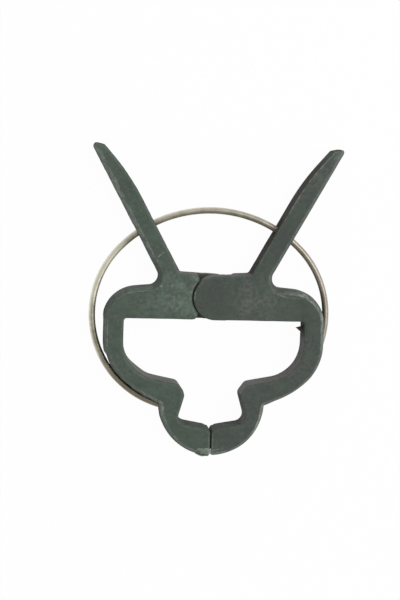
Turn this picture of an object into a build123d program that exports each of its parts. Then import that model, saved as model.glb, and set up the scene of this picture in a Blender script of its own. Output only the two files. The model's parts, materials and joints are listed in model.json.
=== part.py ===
from build123d import *
import os
from math import atan2, cos, degrees, hypot, radians, sin, sqrt, tan

# Orchid clip: two moulded levers on a lap hinge, held shut by a ring of spring wire.
# The clip lies on its back. The origin is on the hinge axis in the plane of the back
# faces, +Z points out of the front faces and +Y runs from the jaws to the finger handles.
# All sizes are millimetres and degrees. Both levers are one moulding, turned half round
# the Y axis for the left hand, so outlines are written once, for the right-hand lever.

# The moulding as a whole
THICKNESS = 6.0
DRAFT = 1.0
LOBE_SIDE_ROUND = 0.35
SEAT_SIDE_ROUND = 0.55
CORNER_FILL = 0.98
JAW_GAP = 0.2
OUTER_BEVEL_WIDTH = 0.75
OUTER_BEVEL_DEPTH = 1.8

# Lap hinge
HINGE_RADIUS = 4.05
SEAT_GAP = 0.2
SEAT_LIP_ROUND = 0.9
LAP_GAP = 0.1
PIN_RADIUS = 1.6
PIN_CLEARANCE = 0.05
PIN_END_GAP = 0.25
BORE_FLOOR = 0.75

# Cross bar and shoulder
BAR_TOP_RISE = 3.1
SHOULDER_HEIGHT = 2.2
SHOULDER_FALL = 5.5
SHOULDER_ROUND = 6.3

# Finger handle: its outer edge is straight, its inner edge bends out to a thin tip
HANDLE_ROOT = 9.4
HANDLE_LEAN = 28.7
HANDLE_WIDTH = 3.65
HANDLE_TOP = 28.0
HANDLE_TIP_WIDTH = 2.7
HANDLE_TIP_SLOPE = 12.5
HANDLE_BEND_HEIGHT = 21.6
HANDLE_BEND_RADIUS = 41.0
HANDLE_TIP_ROUND = 0.65
ROOT_ROUND_OUTER = 1.8
ROOT_ROUND_INNER = 0.7

# Curved arm
ARM_REACH = 20.5
ARM_WIDTH = 3.9
ARM_BEND_DEPTH = 13.0
ARM_ROUND_OUTER = 9.7
HEEL_OFFSET = 14.8
HEEL_DEPTH = 17.95
HEEL_ROUND = 17.0
ARM_ROUND_INNER = 6.6
WINDOW_CORNER_ROUND = 0.5

# Jaw: the knee narrows the way in, the pocket below it holds the stem and its stake
KNEE_OFFSET = 5.0
KNEE_DEPTH = 15.95
KNEE_CUT = 1.4
KNEE_DROP = 1.95
KNEE_ROUND = 1.3
WINDOW_FLOOR_RISE = 11.0
POCKET_OFFSET = 6.5
POCKET_DEPTH = 23.2
POCKET_ROUND = 1.5
POCKET_FLOOR_FALL = 10.5
TIP_INNER_ROUND = 1.5
TIP_OUTER_ROUND = 0.5
JAW_RADIUS = 9.8
JAW_CENTRE_DEPTH = 19.7
JAW_STEP_DEPTH = 19.9
JAW_STEP_ROUND = 0.3

# Stub on the bottom of the left jaw, where the moulding was snapped off its runner
GATE_OFFSET = 1.5
GATE_WIDTH = 2.4
GATE_HEIGHT = 1.4
GATE_THICKNESS = 1.6
GATE_STAND = 0.1
GATE_RISE = 1.2

# Spring ring: a top arc through both handles, and side arcs that end in the jaws
WIRE_DIAMETER = 1.2
RING_STANDOFF = 1.15
RING_MIDDLE_DEPTH = 3.35
RING_END_DROP = 0.05
RING_TURN_ANGLE = 45.0
RING_SHIFT = 0.8
WIRE_END_INSET = 1.5

# Room that the moulding gives the wire
WIRE_CLEARANCE = 0.2
GROOVE_TOP_ANGLE = 8.0
GROOVE_END_GAP = 1.0
SLOT_CLEARANCE = 0.25
SLOT_TRAVEL = 2.8

# Values worked out from the sizes above
HALF = THICKNESS / 2
WIRE_RADIUS = WIRE_DIAMETER / 2
SEAT_RADIUS = HINGE_RADIUS + SEAT_GAP
BORE_DEPTH = HALF - BORE_FLOOR
PIN_LENGTH = BORE_DEPTH - PIN_END_GAP
GROOVE_WIDTH = WIRE_DIAMETER + 2 * WIRE_CLEARANCE
SLOT_WIDTH = WIRE_DIAMETER + 2 * SLOT_CLEARANCE
SLOT_LENGTH = WIRE_DIAMETER + SLOT_TRAVEL
ARM_INSIDE = ARM_REACH - ARM_WIDTH
TIP_FACE = JAW_GAP / 2
FIELD_SIDE = 2 * (HANDLE_TOP + JAW_CENTRE_DEPTH + JAW_RADIUS)
JAW_REACH = sqrt(JAW_RADIUS**2 - (JAW_STEP_DEPTH - JAW_CENTRE_DEPTH) ** 2)
JAW_STEP = (JAW_REACH, -JAW_STEP_DEPTH)
HANDLE_DIRECTION = (sin(radians(HANDLE_LEAN)), cos(radians(HANDLE_LEAN)))
HANDLE_ACROSS = (HANDLE_DIRECTION[1], -HANDLE_DIRECTION[0])

# Mean ring, as if it sat midway between the two levers
RING_REACH = ARM_REACH + RING_STANDOFF
RING_END_OFFSET = RING_REACH - JAW_REACH
RING_END_FALL = JAW_STEP_DEPTH + RING_END_DROP - RING_MIDDLE_DEPTH
SIDE_RADIUS = (RING_END_OFFSET**2 + RING_END_FALL**2) / (2 * RING_END_OFFSET)
SIDE_CENTRE = (RING_REACH - SIDE_RADIUS, -RING_MIDDLE_DEPTH)
TOP_RADIUS = SIDE_RADIUS + SIDE_CENTRE[0] / cos(radians(RING_TURN_ANGLE))
TOP_CENTRE = (0.0, SIDE_CENTRE[1] - SIDE_CENTRE[0] * tan(radians(RING_TURN_ANGLE)))


def along(point, direction, distance):
    """The point that lies a distance from another in a direction."""
    return (point[0] + direction[0] * distance, point[1] + direction[1] * distance)


def handle_outer(height):
    """Point of the straight outer edge of the handle at a height."""
    return (HANDLE_ROOT + (height - SHOULDER_HEIGHT) * tan(radians(HANDLE_LEAN)), height)


def handle_inner(height):
    """Point of the straight part of the inner edge of the handle at a height."""
    outer = handle_outer(height)
    return (outer[0] - HANDLE_WIDTH / cos(radians(HANDLE_LEAN)), height)


def bar_top(distance):
    """Point of the top edge of the cross bar, which leaves the round hinge end tangentially."""
    rise = radians(BAR_TOP_RISE)
    start = (-HINGE_RADIUS * sin(rise), HINGE_RADIUS * cos(rise))
    return along(start, (cos(rise), sin(rise)), distance)


def handle_root_inner():
    """Corner where the inner edge of the handle meets the top edge of the cross bar."""
    rise = tan(radians(BAR_TOP_RISE))
    lean = tan(radians(HANDLE_LEAN))
    foot = handle_inner(0.0)[0]
    start = bar_top(0.0)
    height = (start[1] + rise * (foot - start[0])) / (1 - rise * lean)
    return handle_inner(height)


def jaw_edge(offset, side):
    """Point of the round jaw at an offset from the middle, below (-1) or above (1) its centre."""
    return (offset, -JAW_CENTRE_DEPTH + side * sqrt(JAW_RADIUS**2 - offset**2))


def inner_corners():
    """Corners from the window under the cross bar, over the knee and the pocket, to the jaw tip."""
    knee_top = KNEE_OFFSET + KNEE_CUT
    window_floor = -KNEE_DEPTH + (ARM_INSIDE - knee_top) * tan(radians(WINDOW_FLOOR_RISE))
    pocket_fall = (POCKET_OFFSET - TIP_FACE) * tan(radians(POCKET_FLOOR_FALL))
    return [
        (ARM_INSIDE, -HINGE_RADIUS, WINDOW_CORNER_ROUND),
        (ARM_INSIDE, window_floor, ARM_ROUND_INNER),
        (knee_top, -KNEE_DEPTH, KNEE_ROUND),
        (KNEE_OFFSET, -KNEE_DEPTH - KNEE_DROP, KNEE_ROUND),
        (POCKET_OFFSET, -POCKET_DEPTH, POCKET_ROUND),
        (TIP_FACE, -POCKET_DEPTH - pocket_fall, TIP_INNER_ROUND),
    ]


def arm_corners():
    """Corners from the heel of the arm, over the shoulder, to the outer root of the handle."""
    shoulder_end = SHOULDER_HEIGHT - (ARM_REACH - HANDLE_ROOT) * tan(radians(SHOULDER_FALL))
    return [
        (HEEL_OFFSET, -HEEL_DEPTH, HEEL_ROUND),
        (ARM_REACH, -ARM_BEND_DEPTH, ARM_ROUND_OUTER),
        (ARM_REACH, shoulder_end, SHOULDER_ROUND),
        (HANDLE_ROOT, SHOULDER_HEIGHT, ROOT_ROUND_OUTER),
    ]


def handle_corners():
    """Corners from the tip of the handle, down its inner edge, to its inner root."""
    tip_slope = radians(HANDLE_TIP_SLOPE)
    tip_outer = handle_outer(HANDLE_TOP)
    tip_inner = along(tip_outer, (-cos(tip_slope), -sin(tip_slope)), HANDLE_TIP_WIDTH)
    return [
        (*tip_outer, HANDLE_TIP_ROUND),
        (*tip_inner, HANDLE_TIP_ROUND),
        (*handle_inner(HANDLE_BEND_HEIGHT), HANDLE_BEND_RADIUS),
        (*handle_root_inner(), ROOT_ROUND_INNER),
    ]


def fitted_radii(points, radii):
    """Corner radii, made smaller where two corners would need more than the edge between them."""
    edges = [hypot(b[0] - a[0], b[1] - a[1]) for a, b in zip(points, points[1:])]
    headings = [atan2(b[1] - a[1], b[0] - a[0]) for a, b in zip(points, points[1:])]
    slopes = [abs(tan((after - before) / 2)) for before, after in zip(headings, headings[1:])]
    runs = [0.0] + [radius * slope for radius, slope in zip(radii, slopes)] + [0.0]
    shares = [min(1.0, CORNER_FILL * edge / (a + b)) for edge, a, b in zip(edges, runs, runs[1:])]
    return [radius * min(a, b) for radius, a, b in zip(radii, shares, shares[1:])]


def rounded_line(first, corners, last):
    """Open line from one point to another through corners that are given with their radii."""
    points = [first] + [(x, y) for x, y, _ in corners] + [last]
    return FilletPolyline(*points, radius=fitted_radii(points, [radius for _, _, radius in corners]))


def jaw_arc(start):
    """Round outer edge of the jaw, from a point at its bottom up to the step where the arm begins."""
    belly = along((0.0, -JAW_CENTRE_DEPTH), (sqrt(0.5), -sqrt(0.5)), JAW_RADIUS)
    return ThreePointArc(start, belly, JAW_STEP)


def lever_edge(first, last):
    """Edge of the lever from a point under the cross bar, round the jaw, to one on top of the bar."""
    tip = jaw_edge(TIP_FACE, -1)
    inside = rounded_line(first, inner_corners(), tip)
    return inside + jaw_arc(tip) + rounded_line(JAW_STEP, arm_corners() + handle_corners(), last)


def rounded_at(plan, places, radius):
    """Plan with the corners nearest to some places rounded."""
    return fillet([plan.vertices().sort_by_distance(place)[0] for place in places], radius)


def jaw_rounded(plan):
    """Plan with both ends of the round jaw blended into the tip face and the arm."""
    plan = rounded_at(plan, [jaw_edge(TIP_FACE, -1)], TIP_OUTER_ROUND)
    return rounded_at(plan, [JAW_STEP], JAW_STEP_ROUND)


def lobe_plan():
    """Plan of the half of the lever that ends in the round hinge lobe."""
    lobe = ThreePointArc(bar_top(0.0), (-HINGE_RADIUS, 0.0), (0.0, -HINGE_RADIUS))
    return jaw_rounded(make_face(lever_edge((0.0, -HINGE_RADIUS), bar_top(0.0)) + lobe))


def seat_plan():
    """Plan of the half of the lever that ends in a hollow seat round the other lever's lobe."""
    reach = sqrt(SEAT_RADIUS**2 - HINGE_RADIUS**2)
    low = (reach, -HINGE_RADIUS)
    high = bar_top(reach)
    seat = ThreePointArc(high, (SEAT_RADIUS, 0.0), low)
    plan = make_face(lever_edge(low, high) + seat)
    return jaw_rounded(rounded_at(plan, [low, high], SEAT_LIP_ROUND))


def drafted(plan, height, angle):
    """Block that stands on a plan and narrows upwards by an angle on all its sides."""
    block = extrude(plan, amount=height)
    return draft(block.faces().filter_by(Axis.Z, reverse=True), Plane.XY, angle)


def outer_envelope():
    """Plan with the outer edge of the jaw, the arm and the handle, which takes in all that lies inside it."""
    bottom = jaw_edge(0.0, -1)
    top = handle_outer(HANDLE_TOP + HANDLE_TIP_WIDTH)
    arm = rounded_line(JAW_STEP, arm_corners(), top)
    inside = Polyline(top, (-ARM_REACH, top[1]), (-ARM_REACH, bottom[1]), bottom)
    return rounded_at(make_face(jaw_arc(bottom) + arm + inside), [JAW_STEP], JAW_STEP_ROUND)


def outer_bevel():
    """Cutter for the bevel along the outer edge, with the foot of the bevel at Z = 0."""
    slant = degrees(atan2(OUTER_BEVEL_WIDTH, OUTER_BEVEL_DEPTH))
    field = extrude(Rectangle(FIELD_SIDE, FIELD_SIDE), amount=HALF)
    return field - drafted(outer_envelope(), HALF, slant)


def moulded_half(plan, height, edge_round):
    """One drafted half of the lever above its parting plane, rounded inside and bevelled outside."""
    block = drafted(plan, height, DRAFT)
    half = fillet(block.faces().sort_by(Axis.Z)[-1].edges(), edge_round)
    return half - Pos(0.0, 0.0, height - OUTER_BEVEL_DEPTH) * outer_bevel()


def slot_centre():
    """Point where the mean ring crosses the middle line of the handle."""
    foot = along(handle_outer(0.0), HANDLE_ACROSS, -HANDLE_WIDTH / 2)
    gap = (foot[0] - TOP_CENTRE[0], foot[1] - TOP_CENTRE[1])
    lead = gap[0] * HANDLE_DIRECTION[0] + gap[1] * HANDLE_DIRECTION[1]
    reach = -lead + sqrt(lead**2 - hypot(*gap) ** 2 + TOP_RADIUS**2)
    return along(foot, HANDLE_DIRECTION, reach)


def handle_slot():
    """Cutter for the slot through the handle, in which the ring slides."""
    plane = Plane((*slot_centre(), 0.0), x_dir=(*HANDLE_DIRECTION, 0.0), z_dir=(*HANDLE_ACROSS, 0.0))
    return extrude(plane * SlotOverall(SLOT_LENGTH, SLOT_WIDTH), amount=HANDLE_WIDTH, both=True)


def end_angle(centre_x):
    """Angle on a side arc at which the wire stops inside the jaw."""
    run = JAW_REACH - WIRE_END_INSET - centre_x
    return -degrees(atan2(sqrt(SIDE_RADIUS**2 - run**2), run))


def wire_groove():
    """Cutter for the groove in the outer edge of the arm and the pocket for the end of the wire."""
    stop = end_angle(SIDE_CENTRE[0])
    room = WIRE_RADIUS + WIRE_CLEARANCE
    inside = room + RING_SHIFT
    outside = room + RING_SHIFT * cos(radians(stop))
    middle = SIDE_RADIUS + (outside - inside) / 2
    section = Plane.XZ * Pos(middle, 0.0) * Rectangle(inside + outside, GROOVE_WIDTH)
    start = stop - degrees(GROOVE_END_GAP / SIDE_RADIUS)
    band = revolve(section, axis=Axis.Z, revolution_arc=GROOVE_TOP_ANGLE - start)
    return Pos(*SIDE_CENTRE, 0.0) * Rot(Z=start) * band


def lever_moulding():
    """Right-hand lever with its middle at Z = 0 and its hinge lobe in front of the middle."""
    parting = LAP_GAP / 2
    front = moulded_half(lobe_plan(), HALF - parting, LOBE_SIDE_ROUND)
    back = mirror(moulded_half(seat_plan(), HALF + parting, SEAT_SIDE_ROUND), about=Plane.XY)
    return Pos(0.0, 0.0, parting) * (front + back) - handle_slot() - wire_groove()


def right_lever():
    """Lever whose lobe carries the hinge pin."""
    pin_top = HALF / 2
    pin = Cylinder(PIN_RADIUS, PIN_LENGTH + pin_top, align=(Align.CENTER, Align.CENTER, Align.MAX))
    return lever_moulding() + Pos(0.0, 0.0, pin_top) * pin


def gate_stub():
    """Small block that stands out of the bottom of the left jaw."""
    lowest = -JAW_CENTRE_DEPTH - JAW_RADIUS - GATE_STAND
    block = Box(GATE_WIDTH, GATE_HEIGHT, GATE_THICKNESS, align=(Align.CENTER, Align.MIN, Align.CENTER))
    return Pos(-GATE_OFFSET, lowest, GATE_RISE) * block


def left_lever():
    """The same moulding turned over, with a blind bore for the hinge pin and the gate stub."""
    bore = Cylinder(PIN_RADIUS + PIN_CLEARANCE, BORE_DEPTH, align=(Align.CENTER, Align.CENTER, Align.MAX))
    return Rot(Y=180) * lever_moulding() - bore + gate_stub()


def ring_path():
    """Middle line of the wire from the right jaw over both handles to the left jaw."""
    right = (SIDE_CENTRE[0] - RING_SHIFT, SIDE_CENTRE[1])
    left = (-SIDE_CENTRE[0] - RING_SHIFT, SIDE_CENTRE[1])
    top = (TOP_CENTRE[0] - RING_SHIFT, TOP_CENTRE[1])
    right_end = end_angle(right[0])
    left_end = end_angle(-left[0])
    return Wire(
        [
            Edge.make_circle(SIDE_RADIUS, Plane((*right, 0)), right_end, RING_TURN_ANGLE),
            Edge.make_circle(TOP_RADIUS, Plane((*top, 0)), RING_TURN_ANGLE, 180 - RING_TURN_ANGLE),
            Edge.make_circle(SIDE_RADIUS, Plane((*left, 0)), 180 - RING_TURN_ANGLE, 180 - left_end),
        ]
    )


def spring_ring():
    """Ring of round spring wire, one unbroken open turn."""
    path = ring_path()
    section = Plane(path @ 0, z_dir=path % 0) * Circle(WIRE_RADIUS)
    return sweep(section, path=path)


def least_self_gap(samples=120):
    """Least clear distance between stretches of the ring that are not neighbours."""
    path = ring_path()
    points = [path @ (step / samples) for step in range(samples + 1)]
    apart = samples // 4
    gaps = [
        (points[i] - points[j]).length
        for i in range(samples + 1)
        for j in range(i + apart, samples + 1)
    ]
    return min(gaps) - WIRE_DIAMETER


os.makedirs("parts", exist_ok=True)
pieces = {"left_lever": left_lever(), "right_lever": right_lever(), "spring_ring": spring_ring()}
for name, piece in pieces.items():
    export_step(Pos(0.0, 0.0, HALF) * piece, f"parts/{name}.step")
print("least gap of the ring to itself", round(least_self_gap(), 2))
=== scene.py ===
import json
from math import acos, cos, pi, radians, sin, tan
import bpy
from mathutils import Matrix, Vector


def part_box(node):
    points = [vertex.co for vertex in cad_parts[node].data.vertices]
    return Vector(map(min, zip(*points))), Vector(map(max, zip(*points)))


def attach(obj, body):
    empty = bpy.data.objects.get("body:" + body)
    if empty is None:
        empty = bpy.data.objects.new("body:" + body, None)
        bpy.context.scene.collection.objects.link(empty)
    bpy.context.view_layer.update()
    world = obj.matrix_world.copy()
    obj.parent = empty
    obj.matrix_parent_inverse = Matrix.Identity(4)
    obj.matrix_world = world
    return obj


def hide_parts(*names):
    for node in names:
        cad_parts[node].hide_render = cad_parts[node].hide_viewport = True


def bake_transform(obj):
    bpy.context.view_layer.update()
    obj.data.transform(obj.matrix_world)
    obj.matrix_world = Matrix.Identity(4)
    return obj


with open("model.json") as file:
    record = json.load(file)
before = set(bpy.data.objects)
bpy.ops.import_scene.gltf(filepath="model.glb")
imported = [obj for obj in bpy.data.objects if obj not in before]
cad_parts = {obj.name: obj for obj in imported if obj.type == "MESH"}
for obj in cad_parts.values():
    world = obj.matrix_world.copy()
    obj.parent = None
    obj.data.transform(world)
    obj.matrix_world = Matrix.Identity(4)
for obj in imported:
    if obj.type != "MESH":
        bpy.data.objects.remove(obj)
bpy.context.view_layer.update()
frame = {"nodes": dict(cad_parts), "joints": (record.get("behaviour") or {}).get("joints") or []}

from types import SimpleNamespace

import bmesh
import bpy
import numpy as np
from bpy.props import FloatProperty, FloatVectorProperty, IntProperty, PointerProperty
from mathutils import Matrix, Vector, noise
from mathutils.bvhtree import BVHTree

bl_info = {
    "name": "Plant Clip Dressing",
    "version": (1, 0, 0),
    "blender": (4, 5, 0),
    "location": "View3D > Sidebar > Clip",
    "description": "Gives a moulded spring clip its finish, its wire ring and its studio",
    "category": "Object",
}

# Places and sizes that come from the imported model, in metres
LEFT_LEVER = "left_lever"
RIGHT_LEVER = "right_lever"
RING = "spring_ring"
PIVOT = Vector(frame["joints"][0]["pos_m"])
LEFT_LOW, LEFT_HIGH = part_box(LEFT_LEVER)
RIGHT_LOW, RIGHT_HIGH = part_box(RIGHT_LEVER)
RING_LOW, RING_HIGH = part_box(RING)
FRONT = LEFT_HIGH.z
MIDDLE = (LEFT_LOW.z + LEFT_HIGH.z) / 2
WIRE_RADIUS = (RING_HIGH.z - RING_LOW.z) / 2
RING_REACH = (RING_HIGH.x - RING_LOW.x) / 2 - WIRE_RADIUS
RING_SHIFT = (RING_HIGH.x + RING_LOW.x) / 2
RING_TOP = RING_HIGH.y - WIRE_RADIUS

# The photograph's frame and the hinge's place in it, in pixels
PHOTO_WIDTH = 400
PHOTO_HEIGHT = 600
PIVOT_PIXEL = (214.16, 296.67)
PIXELS_PER_METRE = 5421

# Units, the camera's sensor in millimetres and its nearest sight, and the step between noises
MILLIMETRE = 0.001
MERGE_DISTANCE = 1e-6
SENSOR_WIDTH = 36.0
NEAR_PARTS = 100
NOISE_STEP = (7.31, 3.77, 5.19)

# Rubs on the front faces, in millimetres: from, to, half width, and strength
LEFT_RUBS = (
    ((-18.95, 21.6), (-18.45, 20.1), 0.26, 0.7),
    ((-18.3, 19.9), (-18.0, 19.3), 0.22, 0.6),
    ((-10.75, 7.35), (-9.8, 8.2), 0.16, 0.6),
    ((-11.2, 6.9), (-10.7, 6.6), 0.16, 0.5),
    ((-10.0, 2.0), (-9.9, 2.05), 0.28, 0.7),
    ((-8.9, 2.15), (-8.8, 2.1), 0.24, 0.5),
    ((-8.1, 2.0), (-8.0, 2.0), 0.24, 0.35),
    ((-8.85, 0.45), (-8.8, 0.4), 0.3, 0.3),
    ((-9.2, -0.7), (-9.1, -0.75), 0.26, 0.3),
    ((-4.25, 4.05), (-3.45, 3.2), 0.35, 0.35),
    ((-3.85, -2.95), (-3.25, -3.3), 0.3, 0.3),
    ((-19.1, -1.15), (-18.5, -1.3), 0.28, 0.5),
    ((-19.8, -2.4), (-19.75, -2.5), 0.3, 0.4),
    ((-18.1, 0.25), (-17.6, 0.1), 0.28, 0.4),
)
RIGHT_RUBS = (
    ((9.7, 3.2), (10.7, 1.2), 0.2, 0.25),
    ((10.7, 1.2), (13.3, 0.4), 0.22, 0.4),
    ((13.3, 0.4), (16.8, 0.3), 0.22, 0.2),
    ((0.2, -28.26), (2.24, -27.91), 0.16, 0.55),
)

# Stretches of the bevels' ridges that are made pale, partly as wear and partly as painted highlight, in
# millimetres: from, to, reach, and strength
LEFT_WORN_AND_LIT = (
    ((-22.8, 27.5), (-19.8, 22.0), 1.2, 0.35),
    ((-19.8, 22.0), (-11.5, 7.5), 1.2, 0.45),
    ((-18.0, 0.8), (-12.0, 1.6), 1.0, 0.2),
    ((-20.2, -5.0), (-19.6, -10.0), 1.0, 0.3),
    ((-19.6, -10.0), (-18.2, -12.8), 1.2, 0.3),
    ((-18.2, -12.8), (-11.0, -18.8), 1.2, 0.5),
    ((-9.3, -19.4), (-8.9, -21.8), 0.9, 0.75),
    ((-8.9, -21.8), (-6.2, -26.0), 0.9, 0.5),
    ((-6.2, -26.0), (-2.6, -28.2), 0.9, 0.35),
    ((-0.25, -25.3), (-0.25, -28.0), 0.5, 0.3),
)
RIGHT_WORN_AND_LIT = (
    ((8.0, 7.0), (10.6, 13.2), 1.0, 0.2),
    ((10.6, 13.2), (20.6, 27.0), 1.0, 0.35),
    ((22.8, 27.0), (20.5, 21.0), 1.0, 0.3),
    ((13.3, 1.0), (15.5, 0.6), 1.2, 0.3),
    ((15.5, 0.6), (19.5, -3.5), 2.2, 0.9),
    ((19.5, -3.5), (20.0, -9.0), 1.2, 0.4),
    ((-3.9, -1.6), (-4.0, 1.6), 0.8, 0.3),
    ((9.0, -20.0), (8.3, -24.5), 1.1, 0.6),
    ((0.25, -25.3), (0.25, -28.0), 0.5, 0.3),
    ((0.2, -28.6), (2.4, -28.4), 0.9, 0.4),
)

# Where a moulding swells a little inwards, in millimetres: middle, reach, and height
LEFT_SWELLS = (((-13.9, -13.4), 2.4, 0.40),)

# Lines along which a moulding is drawn aside, in millimetres: from, to, reach, and strength
ARM_TUCK = (
    ((-20.6, -5.0), (-20.2, -10.2), 2.2, 0.36),
    ((-19.6, -11.6), (-17.6, -15.3), 2.2, 1.0),
    ((-17.6, -15.3), (-15.6, -16.9), 2.2, 0.9),
    ((-15.6, -16.9), (-13.8, -18.0), 2.2, 0.65),
    ((-13.8, -18.0), (-11.8, -18.9), 2.0, 0.35),
)
LEFT_NOTCH = (((-0.1, -25.0), (-0.1, -25.4), 0.9, 1.0),)
RIGHT_NOTCH = (((0.1, -25.0), (0.1, -25.4), 0.9, 1.0),)

# How far it is drawn there, in millimetres, and the share of that which is kept at the wire's height
TUCK_SHIFT = (0.50, 0.42)
TUCK_AT_WIRE = 0.25
NOTCH_LIFT = (0.0, 0.4)
LEFT_PULLS = (
    (ARM_TUCK, TUCK_SHIFT, TUCK_AT_WIRE),
    (LEFT_NOTCH, NOTCH_LIFT, 1.0),
)
RIGHT_PULLS = (
    (RIGHT_NOTCH, NOTCH_LIFT, 1.0),
)
GROOVE_HALF_HEIGHT = 0.9

# Heights that part the lever into handle, window and pocket, in millimetres
BAR_TOP = 3.0
JAW_TOP = -18.5
HANDLE_MIDDLE = 22.0
WINDOW_MIDDLE = -8.0
POCKET_MIDDLE = -20.0

# Walls of the hinge's seat and of the jaw tips, which nearly touch, and how far they are let out, in mm
SEAT_RADIUS = 4.15
SEAT_SPREAD = (0.25, 0.45)
TIP_DEPTHS = (23.0, 24.0)
TIP_SPREAD = (0.15, 0.3)
SEAM_FILL = 0.06

# The jaw's round, its gate stub and the film over it, in millimetres
JAW_DEPTH = 19.7
JAW_RADIUS = 9.8
STUB_OFFSET = -1.45
STUB_HALF_WIDTH = 1.15
STUB_FILM = (0.0, 0.05)
FLAKE_TOP = ((-2.55, -27.86), (0.05, -27.95))
FLAKE_BOTTOM = ((-2.15, -28.6), (-1.4, -29.5), (0.2, -29.0))
FLAKE_MIDDLE = (-1.3, -28.3)
FLAKE_REACH = (1.5, 0.8)
FLAKE_STRAY = (0.10, 0.16)

# The film's mesh, its noise in waves to the millimetre, and its heights in metres
FLAKE_ROWS = 10
FLAKE_COLUMNS = 16
FLAKE_RIM_POWER = 6
FLAKE_TEARS = 3.1
FLAKE_TEAR_LAYER = 2.5
FLAKE_RIPPLES = 1.7
FLAKE_RIPPLE_LAYER = 7.7
FLAKE_RIPPLE = 0.00003
FLAKE_SETBACK = 0.00001

# Shares of the film's height and width where it begins to droop and to tear, and how far its bed spreads
DROOP_START = 0.45
DROOP_RUN = 0.3
TEAR_START = 0.72
TEAR_RISE = 4
TORN_RIM = 0.75
BED_SPREAD = 1.6

# Paler or darker patches of the front faces, the pale ones on the left bar by the hinge and at the handle
# tips being painted sheen, in millimetres: middle, reach, and strength
LEFT_TONE_AND_SHEEN = (
    ((-6.3, 0.3), (5.8, 4.5), 1.1),
    ((-21.6, 25.5), (1.5, 3.0), 0.5),
    ((-5.0, -24.5), (4.5, 5.0), -0.2),
)
RIGHT_TONE_AND_SHEEN = (
    ((7.0, -0.3), (4.0, 4.0), 0.8),
    ((0.2, 0.0), (3.8, 4.2), -0.3),
    ((12.0, 11.0), (4.0, 6.5), -0.3),
    ((21.6, 26.2), (1.5, 2.6), 1.0),
    ((18.6, 21.8), (2.4, 4.0), 0.25),
)

# The nib on the wall of the right arm, in millimetres, its mesh, and its uneven skin
NIB_ROOT = (16.8, -5.75, 3.4)
NIB_TIP = (15.35, -5.35, 3.4)
NIB_STEPS = 10
NIB_SIDES = 14
NIB_BLUNTNESS = 0.06
NIB_UNEVENNESS = 0.25
NIB_WAVES_ALONG = 4
NIB_WAVES_ROUND = 1.5

# How far a normal stands up, from 0 on a wall to 1 on a face: where each kind of place begins and is full
WALL_TILT = (0.15, 0.45)
BEVEL_TILT = (0.25, 0.36)
FACE_TILT = (0.3, 0.6)
RIM_TILT = (0.45, 0.65)
FLAT_TILT = (0.9, 0.99)
OUTER_FACING = (0.05, 0.25)

# Waves of the moulding, in metres, and how they sway the parting line and break up the nicks
WAVE_SIZE = 0.0031
NICK_SIZE = 0.0007
NICK_DRIFT = 0.5
NICK_BREAK = (0.25, 0.75)
SEAM_MEAN = 0.7
SEAM_SWAY = 0.6

# How pale the edges are, partly wear and partly painted highlight: all rims, outer rims besides, outer
# bevels, and bevels where they are worn and lit
RIM_PALE = 0.12
OUTER_RIM_PALE = 0.2
BEVEL_PALE = 0.10
BEVEL_WORN_AND_LIT = 0.8

# Painted sheen on walls that face the handles: heights in millimetres, facings, and strength on the
# shoulders
WINDOW_FLOOR = (-20.5, -19.0)
WINDOW_CEILING = (8.0, 14.0)
WINDOW_FACING = (0.0, 0.4)
SHOULDER_FLOOR = (-5.0, -2.0)
SHOULDER_CEILING = (5.0, 8.0)
SHOULDER_FACING = (0.5, 0.85)
SHOULDER_SHEEN = 0.7

# The right lever's walls that face left: places in millimetres, facing, painted sheen low down, and painted
# shade above it
SHADE_SIDE = (5.0, 6.0)
SHADE_FACING = (0.35, 0.75)
SHADE_FLOOR = (-7.8, -5.6)
SHADE_CEILING = (24.5, 26.5)
LOW_WALL_SHEEN = 0.9

# Painted shade in the hinge's seat, by its depth below the front faces in metres
SEAT_DROP = (0.0010, 0.0016)
SEAT_SHADE = 0.7

# What sets the levers apart: marks, painted shade on walls that face left, painted sheen in the pocket, and
# the noise
LOOKS = {
    LEFT_LEVER: {
        "box": (LEFT_LOW, LEFT_HIGH), "rubs": LEFT_RUBS, "worn_and_lit": LEFT_WORN_AND_LIT, "tones_and_sheens": LEFT_TONE_AND_SHEEN,
        "swells": LEFT_SWELLS, "pulls": LEFT_PULLS, "shade": 0.0, "pocket": 0.15, "seed": 1,
    },
    RIGHT_LEVER: {
        "box": (RIGHT_LOW, RIGHT_HIGH), "rubs": RIGHT_RUBS, "worn_and_lit": RIGHT_WORN_AND_LIT, "tones_and_sheens": RIGHT_TONE_AND_SHEEN,
        "swells": (), "pulls": RIGHT_PULLS, "shade": 1.0, "pocket": 0.4, "seed": 2,
    },
}

# Ranges of noise that make clouds, grain, broken wear and specks, and the least wear
CLOUD_RANGE = (0.3, 0.7)
GRAIN_RANGE = (0.25, 0.75)
WEAR_RANGE = (0.36, 0.62)
LEAST_WEAR = 0.2
SPECK_RANGE = (0.70, 0.80)

# Tints that mottle the plastic and the film: shares of red, green and blue
GREEN_DARK = (0.76, 0.80, 0.78)
GREEN_PALE = (1.12, 1.20, 1.14)
BROWN_DARK = (0.84, 0.78, 0.81)
BROWN_PALE = (1.28, 1.18, 1.22)
FILM_DARK = (0.7, 0.75, 0.7)

# Finish of the plastic and the film: strengths of the patches of tone and painted sheen, and the depth of
# the grain in metres
TONE_SHEEN_STRENGTH = 0.75
TONE_SHEEN_MOTTLE = (0.2, 0.8)
SPECK_STRENGTH = 0.10
SHEEN_IN_CLOUDS = (0.72, 1.0)
PLASTIC_ROUGHNESS = (0.50, 0.66)
WALL_ROUGHNESS = 0.3
PLASTIC_GLOSS = 0.14
FILM_ROUGHNESS = (0.35, 0.6)
GRAIN_DEPTH = 0.00005
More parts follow.
